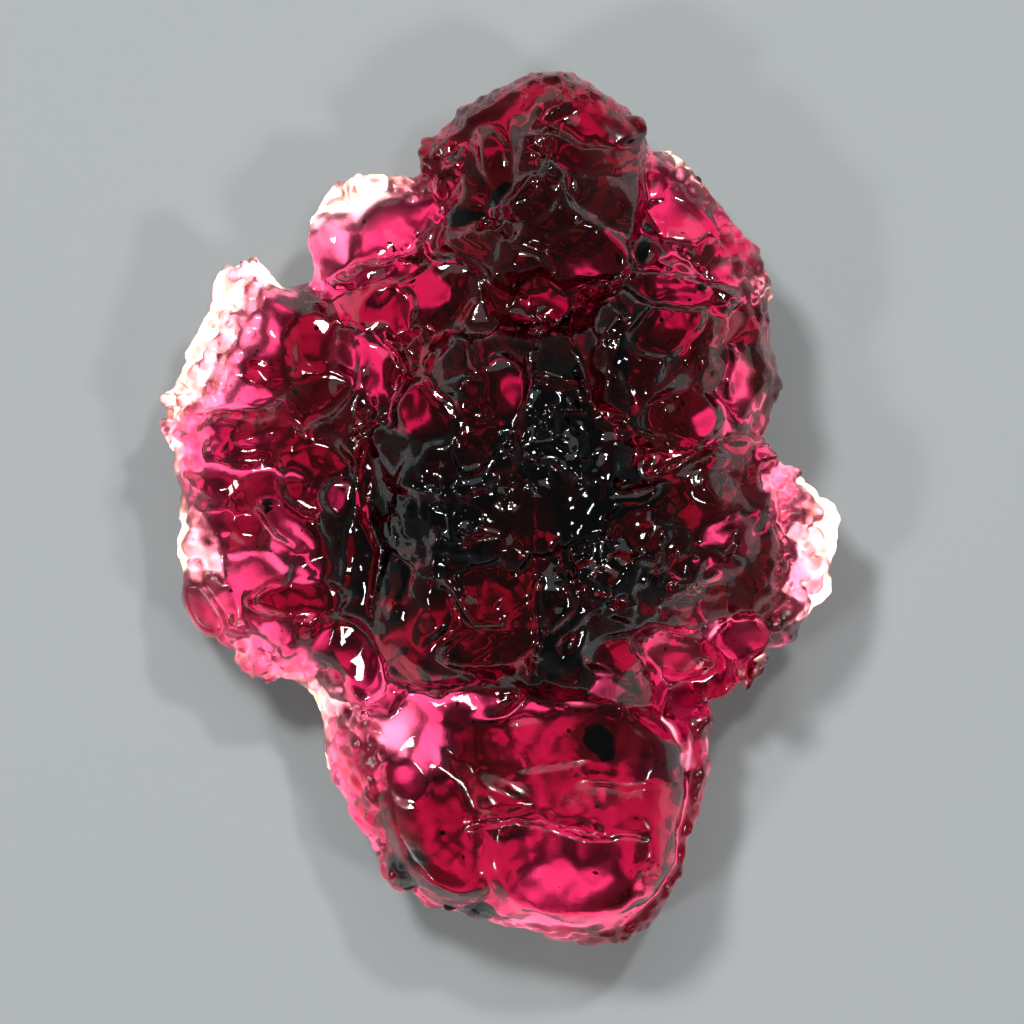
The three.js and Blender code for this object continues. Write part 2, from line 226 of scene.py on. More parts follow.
def blur(a, radius, rounds=3):
    """Averages a grid over boxes reaching this many steps each way, several times over."""
    k = 2 * radius + 1
    for _ in range(rounds):
        for axis in range(a.ndim):
            pad = [(radius + 1, radius) if i == axis else (0, 0) for i in range(a.ndim)]
            s = np.cumsum(np.pad(a, pad, mode="edge"), axis=axis)
            n = s.shape[axis]
            a = (np.take(s, range(k, n), axis) - np.take(s, range(n - k), axis)) / k
    return a


# ------------------------------------------------------------------ the plan of thicknesses and edges


def spot(x, y, at, size, soft=0.35, turn=0.0):
    """1 inside an ellipse and 0 outside it, with a soft edge."""
    c, s = math.cos(math.radians(turn)), math.sin(math.radians(turn))
    u, v = x - at[0], y - at[1]
    r = np.hypot((u * c + v * s) / size[0], (v * c - u * s) / size[1])
    return 1.0 - smooth(1.0 - soft, 1.0 + soft, r)


# How thick the stone is, from the thin windows to the dark middle.
TONES = [
    # x, y, half width, half length, thickness, turn, softness
    # black middle
    (-2.7, -0.7, 1.5, 2.0, 9.0, 0, 0.3),
    (-1.2, 0.4, 1.6, 1.1, 9.0, 10, 0.3),
    (1.5, 2.1, 1.5, 1.4, 9.0, 20, 0.3),
    (2.0, -0.7, 0.9, 1.7, 9.0, 0, 0.3),
    (1.4, -3.4, 0.6, 1.5, 8.0, 0, 0.3),
    (3.3, -1.2, 1.5, 0.6, 7.0, 10, 0.4),
    (2.4, 4.7, 0.8, 1.1, 6.6, 0, 0.4),
    (-0.4, 5.0, 0.7, 1.5, 6.6, 20, 0.4),
    (1.6, 7.9, 2.2, 0.35, 6.6, -5, 0.5),
    (3.7, 7.2, 0.5, 0.8, 7.5, 0, 0.3),
    (-0.4, 11.0, 1.2, 0.6, 7.5, 0, 0.4),
    (0.3, 8.7, 1.1, 0.25, 7.5, 45, 0.4),
    (7.0, -4.6, 0.9, 0.6, 7.0, 0, 0.3),
    (3.6, -5.1, 1.1, 0.45, 7.2, 0, 0.4),
    (-3.9, -2.6, 0.4, 1.6, 7.5, 10, 0.3),
    (-2.9, 2.9, 1.2, 0.5, 6.2, 35, 0.4),
    (4.3, 3.9, 0.8, 0.6, 6.2, 0, 0.4),
    (4.2, 2.5, 0.7, 0.4, 6.2, 0, 0.4),
    (-4.6, 3.4, 0.7, 0.7, 5.8, 0, 0.4),
    # red and pink windows
    (2.45, 7, 1.09, 0.63, 3, -4, 0.5),
    (1.2, 6.05, 0.48, 0.44, 4, 20, 0.45),
    (5, 8, 0.95, 0.5, 2.6, -12, 0.2),
    (-1.6, 6, 0.92, 0.86, 3.1, 15, 0.4),
    (-3, 5.6, 0.69, 0.57, 3.8, 10, 0.45),
    (-3.1, 3.95, 0.55, 1, 2.7, 8, 0.35),
    (-1.9, 2.7, 0.86, 0.75, 3.5, -35, 0.35),
    (0.25, 3.3, 0.55, 0.9, 3.35, 5, 0.45),
    (4.7, 5.1, 1.09, 0.57, 3.7, 30, 0.45),
    (5, 6.05, 1.49, 0.41, 3, -8, 0.45),
    (6.25, 4, 0.6, 0.8, 2.3, 0, 0.45),
    (5.4, 2.55, 0.75, 0.65, 2.5, 20, 0.45),
    (5.1, 1.35, 1.03, 0.41, 4, 8, 0.45),
    (7.4, 1.3, 0.5, 0.7, 1.8, 0, 0.3),
    (5.9, -0.7, 0.75, 0.65, 2.1, 10, 0.5),
    (-0.7, -2.6, 1.5, 0.7, 4.9, 4, 0.6),
    (-0.5, -3.8, 0.92, 0.37, 3.4, 8, 0.45),
    (-3.9, -3.9, 0.5, 0.8, 3.25, 20, 0.45),
    (-0.3, -5.15, 1.8, 0.6, 2.1, -4, 0.3),
    (2.4, -4.7, 0.65, 0.75, 2.2, 0, 0.45),
    (3.4, -3.9, 0.8, 0.48, 3.7, 10, 0.45),
    (5, -3.9, 1.09, 0.57, 3.9, -18, 0.45),
    (6.9, -3.5, 0.57, 0.57, 4, 0, 0.45),
    (1, 8.6, 0.8, 0.5, 4.4, 35, 0.3),
    (0, 9.6, 0.4, 0.9, 4.2, 20, 0.4),
    (2.6, 10.6, 1.15, 0.46, 3.9, -10, 0.55),
    (6.9, 5.8, 0.4, 0.5, 1, 0, 0.4),
    (1.1, -0.8, 0.5, 0.32, 4.7, 0, 0.3),
    (6.1, 6.9, 0.5, 0.5, 6.5, -30, 0.3),
    (0.6, -5.2, 0.5, 0.25, 1.2, 0, 0.5),
    # the left wing
    (-7.6, 5.3, 0.8, 0.7, 0.6, 0, 0.5),
    (-6.6, 5.7, 0.9, 0.5, 1.8, 20, 0.4),
    (-8.3, 3.9, 0.5, 0.7, 1.3, 0, 0.4),
    (-6.2, 4.9, 0.8, 0.9, 1.9, 0, 0.3),
    (-5.0, 4.8, 0.5, 0.8, 4.2, 0, 0.3),
    (-7, 1.6, 1.3, 0.6, 1.7, -10, 0.3),
    (-7.7, 2.6, 0.7, 0.9, 1.3, 0, 0.5),
    (-5.0, 1.0, 0.9, 1.0, 4.0, 0, 0.3),
    (-4.3, 0.4, 0.45, 0.45, 2.6, 0, 0.2),
    (-5.6, -0.4, 1.1, 0.4, 2.4, -35, 0.3),
    (-6.9, -0.4, 0.4, 0.4, 3.4, 0, 0.4),
    (-7.6, -2.4, 0.5, 0.5, 3.0, 0, 0.5),
    (-8.0, -1.1, 0.6, 1.0, 0.6, 0, 0.5),
    (-8.2, -2.7, 0.4, 0.8, 3.4, 30, 0.4),
    (-5.4, -2.4, 1.2, 0.45, 4.4, 0, 0.2),
    (-5.8, -1.8, 0.8, 0.2, 2.2, 0, 0.4),
    (-6.2, -3.3, 0.8, 0.5, 2.0, 0, 0.5),
    (-4.6, -4.8, 0.5, 0.4, 0.7, 0, 0.5),
    (-6.3, -4.3, 0.7, 0.4, 1.8, 0, 0.5),
    (-3.5, 5.9, 1.3, 0.15, 1.8, 35, 0.5),
    # the tabs and the ridge beside the crown
    (-4.0, 8.4, 1.1, 0.8, 0.5, 0, 0.5),
    (-2.3, 8.6, 0.7, 0.5, 0.5, 0, 0.5),
    (-4.3, 7.4, 0.6, 0.6, 1.4, 0, 0.4),
    (-3.0, 7.3, 0.8, 0.5, 2.2, 0, 0.3),
    (-3.5, 8.9, 1.3, 0.5, 0.5, 0, 0.4),
    (-3.2, 6.6, 1.2, 0.3, 3.0, 10, 0.4),
    (-6.9, 6.6, 0.8, 0.8, 0.5, 0, 0.4),
    (-1.8, 9.3, 0.4, 0.8, 1.8, 0, 0.5),
    # the right lobe and rim
    (8.6, -0.6, 0.7, 1.3, 0.6, 0, 0.4),
    (8.0, -2.4, 0.5, 0.9, 0.8, 0, 0.4),
    (7.4, -0.4, 0.4, 1.0, 1.9, 0, 0.4),
    (5.3, 9.1, 1.0, 0.5, 0.8, -35, 0.4),
    (6.4, 8.1, 0.4, 0.7, 1.8, 20, 0.4),
    (7.3, 6.0, 0.35, 0.6, 0.8, 0, 0.4),
    # the long crystal below
    (1.6, -6.5, 2.8, 1.1, 3.7, 0, 0.5),
    (-1.6, -8.6, 1.2, 2.0, 3.8, 25, 0.5),
    (2.2, -9.6, 2.2, 1.3, 3.2, 0, 0.5),
    (-2.6, -6.1, 0.8, 0.9, 1.1, 0, 0.6),
    (-2.4, -7.4, 0.5, 0.6, 2.4, 0, 0.6),
    (-1.4, -6.5, 0.7, 0.8, 1.8, 0, 0.5),
    (-0.4, -7.4, 0.22, 1.5, 5.4, 0, 0.6),
    (1.3, -6.1, 0.8, 0.3, 3.4, 0, 0.5),
    (2.9, -6.3, 0.4, 0.5, 6.5, 0, 0.5),
    (2.2, -10.3, 1.7, 0.9, 2.5, 0, 0.6),
    (2.1, -11.6, 1.8, 0.3, 5.4, -6, 0.5),
    (-2.4, -9.9, 0.6, 0.5, 7.5, 40, 0.4),
    (-0.6, -11.0, 0.7, 0.4, 7.0, -15, 0.4),
    (4.5, -6.7, 0.4, 0.6, 1.4, 0, 0.5),
    (0.4, -8.6, 0.5, 0.2, 1.6, 0, 0.5),
]


# Long streaks of one thickness: thickness, half width, and the line they follow.
BANDS = [
    (0.5, 0.75, [(-6.5, 7.1), (-6.9, 6.2), (-7.3, 5.2), (-7.8, 4.2), (-8.5, 3.2)]),
    (1.2, 0.40, [(-6.4, 5.8), (-6.9, 4.7), (-7.4, 3.6), (-7.8, 2.6)]),
    (1.2, 0.30, [(-8.8, 2.6), (-8.9, 1.8), (-8.7, 0.9)]),
    (0.7, 0.45, [(-8.3, -0.3), (-8.4, -1.2), (-8.0, -1.9)]),
    (1.6, 0.35, [(-7.6, -2.6), (-7.1, -3.6), (-6.3, -4.4)]),
    (0.8, 0.30, [(-5.2, -4.6), (-4.4, -5.0), (-3.9, -5.6)]),
    (2.0, 0.24, [(-8.2, 2.2), (-7.2, 2.5), (-6.1, 2.7), (-5.0, 2.6)]),
    (1.7, 0.28, [(-7.9, 1.2), (-7.0, 1.4), (-6.0, 1.3), (-5.3, 1.0)]),
    (1.9, 0.26, [(-7.6, 0.2), (-6.4, 0.1), (-5.4, -0.3), (-4.7, -0.9)]),
    (1.9, 0.24, [(-7.2, -0.9), (-6.3, -1.1), (-5.4, -1.6), (-4.9, -2.0)]),
    (4.8, 0.13, [(-7.9, 1.8), (-6.4, 1.9), (-5.0, 1.9), (-4.2, 1.5)]),
    (4.8, 0.13, [(-8.0, 0.6), (-6.8, 0.7), (-5.6, 0.4), (-4.6, 0.3)]),
    (5.0, 0.12, [(-7.6, -0.4), (-6.6, -0.5), (-5.6, -1.0), (-4.8, -1.5)]),
    (5.0, 0.14, [(-6.6, 3.9), (-5.9, 3.6), (-5.0, 3.6)]),
    (6.0, 0.45, [(-1.6, 8.9), (-1.3, 10.0), (-0.5, 11.0), (0.8, 11.5)]),
    (5.0, 0.35, [(0.8, 11.5), (2.2, 11.2), (3.6, 10.2), (4.0, 9.1)]),
    (5.6, 0.45, [(6.9, 5.0), (7.2, 3.8), (7.0, 2.6), (6.6, 1.9)]),
    (2.0, 0.30, [(-2.2, -5.0), (-1.0, -5.2), (0.2, -5.4), (1.4, -5.5)]),
    (1.6, 0.35, [(4.3, -5.9), (4.7, -6.6), (4.9, -7.3)]),
    (0.6, 0.35, [(4.4, 9.6), (5.3, 9.2), (6.2, 8.5)]),
    (6.0, 0.30, [(4.9, -7.6), (4.8, -8.6), (4.4, -9.8), (3.7, -10.9), (2.5, -11.5)]),
    (6.5, 0.45, [(7.7, -3.2), (7.4, -4.2), (6.4, -4.9), (5.2, -5.0)]),
]


# Raised edges between the faces on top, as polylines.
RIDGES = [
    [(1.45, 10.5), (1.5, 9.7), (1.2, 8.95)],
    [(3.35, 8.9), (3.65, 8.5), (3.5, 8.1)],
    [(2.0, 8.4), (2.4, 8.0), (2.75, 7.8)],
    [(4.4, 7.5), (4.5, 6.9), (4.95, 6.5)],
    [(3.0, 5.6), (3.25, 5.2), (2.8, 4.4), (2.75, 3.95), (3.4, 3.7)],
    [(6.1, 5.2), (5.6, 4.8), (5.2, 4.0), (4.7, 3.6), (4.2, 3.1)],
    [(6.5, 4.6), (6.48, 3.2)],
    [(-2.1, 5.1), (-2.0, 4.5), (-1.5, 4.1)],
    [(-2.0, 3.6), (-1.45, 2.9), (-1.0, 2.1), (-0.6, 1.7)],
    [(3.2, -2.75), (4.4, -3.4), (5.6, -3.85), (6.15, -4.4), (6.2, -5.0)],
    [(3.0, 2.6), (4.2, 2.1), (5.6, 1.9), (6.9, 2.0)],
    [(-2.1, 0.3), (-1.9, -0.4), (-1.2, -0.85), (-0.5, -0.7)],
    [(-1.7, 9.2), (-1.5, 8.4), (-2.0, 7.4)],
    [(-4.0, 2.4), (-3.8, 0.8), (-4.1, -1.2), (-4.2, -2.4)],
]

# Sunk lines, where one crystal passes under the next.
CREVICES = [
    [(1.3, 10.6), (1.2, 8.9), (0.6, 8.45), (0.0, 8.05), (-0.4, 7.8)],
    [(0.2, 7.7), (0.6, 7.35), (1.3, 7.2)],
    [(4.2, 8.3), (4.6, 7.4), (5.6, 6.6), (6.6, 5.6)],
    [(3.3, 6.3), (2.2, 5.7), (1.2, 4.9), (0.9, 3.8)],
    [(-4.4, 5.2), (-3.2, 4.9), (-2.4, 4.0), (-2.9, 2.6), (-3.9, 2.0)],
    [(3.4, 0.7), (4.4, 1.0), (6.2, 2.0)],
    [(1.1, -1.9), (1.2, -3.4), (0.95, -4.6)],
    [(-5.0, 6.2), (-3.4, 6.8), (-2.2, 7.6)],
]

# Low cleavage steps on the crystal below: the face drops on the right of each line's way.
STEPS = [
    ([(2.6, -8.9), (0.6, -8.5), (-0.5, -8.7)], 0.16),
    ([(3.9, -9.0), (2.0, -8.9)], 0.10),
    ([(4.6, -7.6), (2.6, -7.5)], 0.08),
    ([(2.2, -6.9), (1.0, -7.1)], 0.06),
]


def line_distance(x, y, line):
    """How far each place is from a line."""
    best = np.full(len(x), 99.0, dtype=np.float32)
    for (ax, ay), (bx, by) in zip(line, line[1:]):
        dx, dy = bx - ax, by - ay
        t = np.clip(((x - ax) * dx + (y - ay) * dy) / (dx * dx + dy * dy), 0, 1)
        best = np.minimum(best, np.hypot(x - ax - t * dx, y - ay - t * dy))
    return best


# Where the thin edges break into sugary grains: half width and line.
GRAINY = [
    (0.7, [(-6.6, 7.0), (-7.2, 5.6), (-8.4, 3.4), (-8.9, 1.6), (-8.5, -0.6), (-8.2, -2.0), (-7.2, -3.9)]),
    (0.7, [(-7.2, -3.9), (-6.0, -4.6), (-4.6, -5.1), (-3.9, -6.2), (-3.3, -8.0), (-2.4, -9.6)]),
    (0.5, [(-4.7, 8.8), (-3.4, 9.2), (-2.2, 9.1), (-1.4, 9.9)]),
    (0.5, [(5.2, 9.4), (6.2, 8.6), (7.0, 7.0), (7.4, 5.6)]),
    (0.9, [(8.2, 0.8), (8.6, -0.8), (8.0, -2.8)]),
    (0.4, [(2.7, 11.3), (3.5, 10.6)]),
]


# ------------------------------------------------------------------ facets and regions

# Which way each cell's face leans.
LEAN = np.random.default_rng(5).normal(size=(SIDE**3, 3)).astype(np.float32)


def facets(p, size, seed, edge):
    """Leaning flat faces of about this size, and how round each is."""
    near, second, offset, which, offset_2, which_2 = cells(p, size, seed)
    share = 0.5 + 0.5 * smooth(0.0, edge, second - near)
    tilt = (offset * LEAN[which]).sum(1) * share + (offset_2 * LEAN[which_2]).sum(1) * (1.0 - share)
    return tilt, near * near


def wing_rays(x, y, z):
    """Stretches places so that cells run out from the middle over the left wing."""
    return np.stack([np.hypot(x + 1.5, y - 1.5) / 3.2, np.arctan2(y - 1.5, -1.5 - x) * 5.0, z], 1)


def signed_distance(x, y, line):
    """How far each place is from a line, and from its nearest stretch sideways: right is negative."""
    best = np.full(len(x), 99.0, dtype=np.float32)
    side = best.copy()
    for (ax, ay), (bx, by) in zip(line, line[1:]):
        dx, dy = bx - ax, by - ay
        t = np.clip(((x - ax) * dx + (y - ay) * dy) / (dx * dx + dy * dy), 0, 1)
        d = np.hypot(x - ax - t * dx, y - ay - t * dy)
        across = (dx * (y - ay) - dy * (x - ax)) / math.hypot(dx, dy)
        side = np.where(d < best, across, side)
        best = np.minimum(best, d)
    return best, side


def ramp(grid):
    """The highest level at each place when no flank rises more than a step above a gentle slope."""
    solid = grid.phi < 0
    top = grid.levels[grid.shape[2] - 1 - solid[:, :, ::-1].argmax(axis=2)]
    top = np.where(solid.any(axis=2), top + STEP, EDGE_LEVEL).astype(np.float32)
    for _ in range(int(2.5 / VOXEL)):
        for dx, dy in ((1, 0), (0, 1), (1, 1), (1, -1)):
            rise = FLANK * VOXEL * math.hypot(dx, dy)
            for way in (-1, 1):
                top = np.minimum(top, np.roll(top, (way * dx, way * dy), (0, 1)) + rise)
    return blur(top, 2, 1)


def inwards(inside, reach):
    """How much of the plan is stone, averaged this far around each place: 1 well inside the outline."""
    return blur(inside.astype(float), int(reach / VOXEL))


class Grid:
    """The dense grid of distances, and what is measured over its plan."""

    def __init__(self):
        self.phi, self.low = level_set()
        self.shape = self.phi.shape
        self.levels = ((np.arange(self.shape[2]) + self.low[2]) * VOXEL).astype(np.float32)
        self.phi = np.maximum(self.phi, np.clip(0.8 * (self.levels - ramp(self)[:, :, None]), -BAND, BAND))
        self.soft = blur(self.phi, 3, 2)
        solid = self.phi < 0
        count = solid.sum(axis=2)
        self.inside = count > 0
        self.middle = (solid * self.levels).sum(axis=2) / np.maximum(count, 1)
        # how surely each place belongs to the thick main mass, by a low and a high bar
        depth = blur(count * VOXEL, int(0.4 / VOXEL))
        self.deep = smooth(3.6, 5.4, depth)
        self.main = smooth(4.0, 5.5, depth)
        self.edge = inwards(self.inside, 0.55)
        self.x = ((np.arange(self.shape[0]) + self.low[0]) * VOXEL)[:, None] + np.zeros(self.shape[:2])
        self.y = ((np.arange(self.shape[1]) + self.low[1]) * VOXEL)[None, :] + np.zeros(self.shape[:2])
        self.top = self.levels[self.shape[2] - 1 - solid[:, :, ::-1].argmax(axis=2)]
        self.plan = plan_thickness(self)


def dark_rim(x, y):
    """Where the stone is thick right up to its outline: the crown, the right side and the crystal below."""
    return np.maximum.reduce([
        spot(x, y, (0.8, 10.8), (2.6, 1.6)),
        spot(x, y, (7.2, 3.6), (1.1, 2.2)),
        spot(x, y, (6.4, -4.8), (1.8, 1.4)),
        spot(x, y, (2.0, -9.5), (4.6, 3.2)),
        0.6 * spot(x, y, (-8.0, -2.9), (0.9, 1.1)),
    ])


def along(x, y, line, half_width):
    """1 near a line, and 0 away from it."""
    return smooth(1.3 * half_width, 0.6 * half_width, line_distance(x, y, line))


def grainy(x, y):
    """Where the edge is made of sugary grains."""
    return np.maximum.reduce([along(x, y, line, half_width) for half_width, line in GRAINY])


def regions(x, y):
    """How much of each place belongs to the wing, the crystal below, and the black middle."""
    wing = 1.0 - smooth(-4.8, -3.8, x)
    front = spot(x, y, (2.0, -8.3), (3.3, 2.9), 0.15)
    centre = np.maximum.reduce([
        spot(x, y, (-1.0, -0.1), (2.2, 1.3)),
        spot(x, y, (1.3, 1.4), (1.8, 0.9)),
        spot(x, y, (3.7, -1.6), (2.4, 1.2)),
        spot(x, y, (1.7, 2.6), (0.9, 0.6)),
    ])
    return wing, front, centre


# ------------------------------------------------------------------ the relief of the top


def lower(z):
    """The level in the CAD body that comes up to this level: steepens its walls and flattens its tops."""
    t = np.clip((z - WAIST) / (SUMMIT - WAIST), 0.0, 1.0)
    return z - DOME * (SUMMIT - WAIST) * t * (1.0 - t)


def rise(grid):
    """The level of the top, smoothed, and its slopes."""
    heights = np.linspace(-1.0, 9.0, 400)
    top = np.interp(grid.top, lower(heights), heights)
    top = spread(top, grid.inside * 1.0, 0.4)
    return (top, *np.gradient(top, VOXEL))


def flatten_panes(f, x, y, z, grid, upper):
    """Makes the top nearly level over each window, so that the light under it comes straight up."""
    top, gx, gy = rise(grid)
    for px, py, rx, ry, thick, turn, _ in TONES:
        if not WINDOW[0] <= thick <= WINDOW[1]:
            continue
        amount = spot(x, y, (px, py), (1.1 * rx, 1.1 * ry), 0.2, turn) * upper
        near = amount > 0.01
        i, j = round(px / VOXEL) - grid.low[0], round(py / VOXEL) - grid.low[1]
        level = top[i, j] + 0.4 * (gx[i, j] * (x[near] - px) + gy[i, j] * (y[near] - py))
        f[near] = mix(f[near], np.clip(z[near] - level, -BAND, BAND), amount[near])
    return f


def relief(grid):
    """Breaks the body's surface into facets, grains, ridges and cracks."""
    index = np.argwhere(np.abs(grid.phi) < BAND).astype(np.int32)
    p = ((index + grid.low) * VOXEL).astype(np.float32)
    x, y, z = p.T
    column = (index[:, 0], index[:, 1])
    rim = 1.0 - smooth(0.55, 0.97, grid.edge[column])
    main = grid.main[column]
    rim = rim * (1.0 - 0.8 * main)
    upper = smooth(-0.2, 0.4, z - grid.middle[column])
    wing, front, centre = regions(x, y)
    calm = 1.0 - front * upper

    warp = 0.26 * wave(p, 2.3, 1, 3) + 0.09 * wave(p, 0.8, 2, 3)
    warp[:, 2] = 0.3 * warp[:, 2] + lower(z) - z
    place = index + warp / VOXEL
    f = sample(place, grid.phi)
    f = mix(f, sample(place, grid.soft), np.maximum(front, 0.8 * wing * (1.0 - main)))

    tilt, bowl = facets(p, 2.6, 11, 0.10)
    f += (0.24 * tilt - 0.06 * (bowl - 0.4)) * (0.15 + 0.85 * main) * calm
    f += 0.09 * facets(p, 1.15, 12, 0.08)[0] * calm * (0.3 + 0.7 * main)
    tilt, bowl = facets(wing_rays(x, y, z / 2.2).astype(np.float32), 1.0, 15, 0.2)
    f += (0.08 * tilt - 0.06 * (bowl - 0.5)) * wing * (1.0 - main)
    tilt, bowl = facets(p, 0.38, 13, 0.2)
    grain = np.maximum(0.6 * rim, grainy(x, y) * (1.0 - main))
    f += (0.28 * (bowl - 0.25) + 0.04 * tilt) * grain
    f += 0.12 * tilt * centre * upper
    fine = wave(p, 0.3, 14)
    f += 0.04 * fine * np.maximum(grain, centre * upper)
    f += 0.006 * wave(p, 0.5, 16)
    f += 0.012 * wave(p, 0.24, 18) * (1.0 - 0.6 * front)

    wobble = wave(p, 0.6, 17, 2)
    x, y = x + 0.12 * wobble[:, 0], y + 0.12 * wobble[:, 1]
    f = flatten_panes(f, x, y, z, grid, upper)
    for line in RIDGES:
        d = line_distance(x, y, line)
        f -= 0.08 * np.exp(-((d / 0.09) ** 2)) * upper
    for line in CREVICES:
        d = line_distance(x, y, line) + 0.10 * fine
        f += 0.18 * np.clip(1.0 - d / 0.16, 0.0, 1.0) * upper
    for line, drop in STEPS:
        d, side = signed_distance(x, y, line)
        f += drop * smooth(0.06, -0.02, side) * smooth(0.5, 0.1, d) * upper

    out = np.where(grid.phi > 0, BAND, -BAND).astype(np.float32)
    out[tuple(index.T)] = np.clip(f, -BAND, BAND)
    return out


# ------------------------------------------------------------------ the underside


def plan_thickness(grid):
    """The wanted thickness at each place, in mm."""
    x, y = grid.x.ravel(), grid.y.ravel()
    flat = np.stack([x, y, 0 * x], 1).astype(np.float32)
    wing, front, _ = regions(x, y)
    which = cells(wing_rays(x, y, 0 * x).astype(np.float32), 1.0, 27)[3]
    shade = np.random.default_rng(28).random(SIDE**3)[which]
    reach = smooth(3.6, 7.4, np.hypot(x + 1.5, y - 1.5))
    wing_tone = (3.1 - 1.3 * reach) * (0.72 + 0.56 * shade)
    thin = wing * wing_tone + (1 - wing) * 2.9
    t = mix(thin, 5.4, grid.deep.ravel())
    offset, which = cells(flat, PANE, 22)[2:4]
    pane = LEAN[which, 0] * (1 - 0.6 * wing) * (1 - front)
    t = t * (1.0 + 0.20 * wave(flat, 1.7, 21) * (1 - 0.6 * front) + 0.07 * np.clip(pane, -2, 2))
    snap = 0.35 * PANE * (1 - front)[:, None] * offset
    x = x - snap[:, 0] + 0.12 * wave(flat, 0.9, 23)
    y = y - snap[:, 1] + 0.12 * wave(flat, 0.9, 24)
    for tx, ty, rx, ry, thick, turn, soft in TONES:
        t = mix(t, thick, spot(x, y, (tx, ty), (rx, ry), soft, turn))
    for thick, half_width, line in BANDS:
        t = mix(t, thick, along(x, y, line, half_width))
    fine = 0.14 * wave(flat, 0.30, 26) + 0.08 * wave(flat, 0.6, 29)
    t = t * (1.0 + 0.05 * wave(flat, 0.6, 25) + fine * np.maximum(spot(x, y, (1.0, -8.3), (4.6, 3.4)), 0.6))
    return THICKNESS * np.maximum(t, 0.5).reshape(grid.shape[:2])


def spread(a, weight, reach):
    """Carries a map's values from where the weight is to where it isn't, by averages reaching this far."""
    radius = int(reach / VOXEL)
    return blur(a * weight, radius) / np.maximum(blur(weight, radius), 1e-3)


def underside(grid, inside, top):
    """The level of the underside, which gives each place its planned thickness under this top."""
    dark = dark_rim(grid.x, grid.y)
    inner = smooth(0.66, 0.86, grid.edge) * inside
    bottom = np.minimum(spread(top, inner, 0.25), top) - grid.plan

    # near the outline it carries on from inside
    rim = spread(bottom, inner, 0.3) - 1.8 * dark
    bottom = np.maximum(bottom, (1.0 - grid.deep) * (grid.middle - 2.1))
    bottom = np.where(blur(inner, int(0.3 / VOXEL)) > 0.01, mix(rim, bottom, inner), grid.middle - 0.5)
    border = (1.0 - smooth(0.75, 0.99, inwards(inside, 0.8))) * (1.0 - 0.7 * grid.deep)
    even = spread(bottom, inside * 1.0, 0.35)
    bottom = mix(bottom, even, (1.0 - grid.deep) * 0.5)
    bottom = mix(bottom, np.maximum(even, grid.middle - 1.5 - 1.5 * dark), border)

    # no points hang down from the edge
    thin = 1.0 - 0.8 * dark
    border = thin * (1.0 - smooth(0.7, 0.9, inwards(inside, 0.6)))
    bottom = mix(bottom, np.maximum(bottom, spread(bottom, inside * 1.0, 0.9)), border)
    border = thin * (1.0 - smooth(0.85, 0.99, inwards(inside, 1.2)))
    even = spread(bottom, inside * 1.0, 0.45)
    bottom = mix(bottom, np.maximum(bottom, even - 0.1), border)
    return blur(np.where(inside, np.minimum(bottom, top - 0.35), bottom), 1, 1)


def lower_walls(out, grid):
    """The walls under the outline, which draw in as they go down."""
    deepest = out.min(axis=2)
    thin = 1.0 - 0.8 * dark_rim(grid.x, grid.y)
    below = grid.middle[:, :, None] - grid.levels
    inset = 0.04 + (0.05 * below + 0.07 * np.maximum(below, 0.0) ** 2) * thin[:, :, None]
    walls = np.maximum(-below, blur(deepest, int(0.2 / VOXEL))[:, :, None] + inset)
    index = np.argwhere(np.abs(walls) < 0.45).astype(np.int32)
    p = ((index + grid.low) * VOXEL).astype(np.float32)
    walls[tuple(index.T)] += 0.3 * facets(p, 1.3, 43, 0.15)[0] + 0.10 * wave(p, 0.7, 41)
    walls[tuple(index.T)] += 0.22 * (facets(p, 0.42, 44, 0.2)[1] - 0.25) + 0.05 * wave(p, 0.3, 42)
    return np.maximum(walls, deepest[:, :, None])


def shape_underside(out, grid):
    """Cuts or fills the underside until the stone is as thick as it should be."""
    solid = out < 0
    inside = solid.any(axis=2)
    last = grid.shape[2] - 1
    top = np.where(inside, grid.levels[last - solid[:, :, ::-1].argmax(axis=2)], 0.0)
    bottom = underside(grid, inside, top)
    gx, gy = np.gradient(bottom, VOXEL)
    lean = 1.0 / np.sqrt(1.0 + gx * gx + gy * gy)
    cut = (bottom[:, :, None] - grid.levels) * lean[:, :, None]
    out = np.maximum(np.minimum(out, lower_walls(out, grid)), np.clip(cut, -BAND, BAND))
    return np.maximum(out, -grid.levels)


def polygons(out, low):
    """The surface of a grid of distances, as points in metres and quads."""
    grid = openvdb.FloatGrid(BAND)
    grid.transform = openvdb.createLinearTransform(voxelSize=VOXEL)
    grid.copyFromArray(out.astype(np.float32), ijk=tuple(int(v) for v in low))
    points, _, quads = grid.convertToPolygons(isovalue=0.0, adaptivity=0.0)
    return points * MM, quads


# ------------------------------------------------------------------ what is sealed in the stone

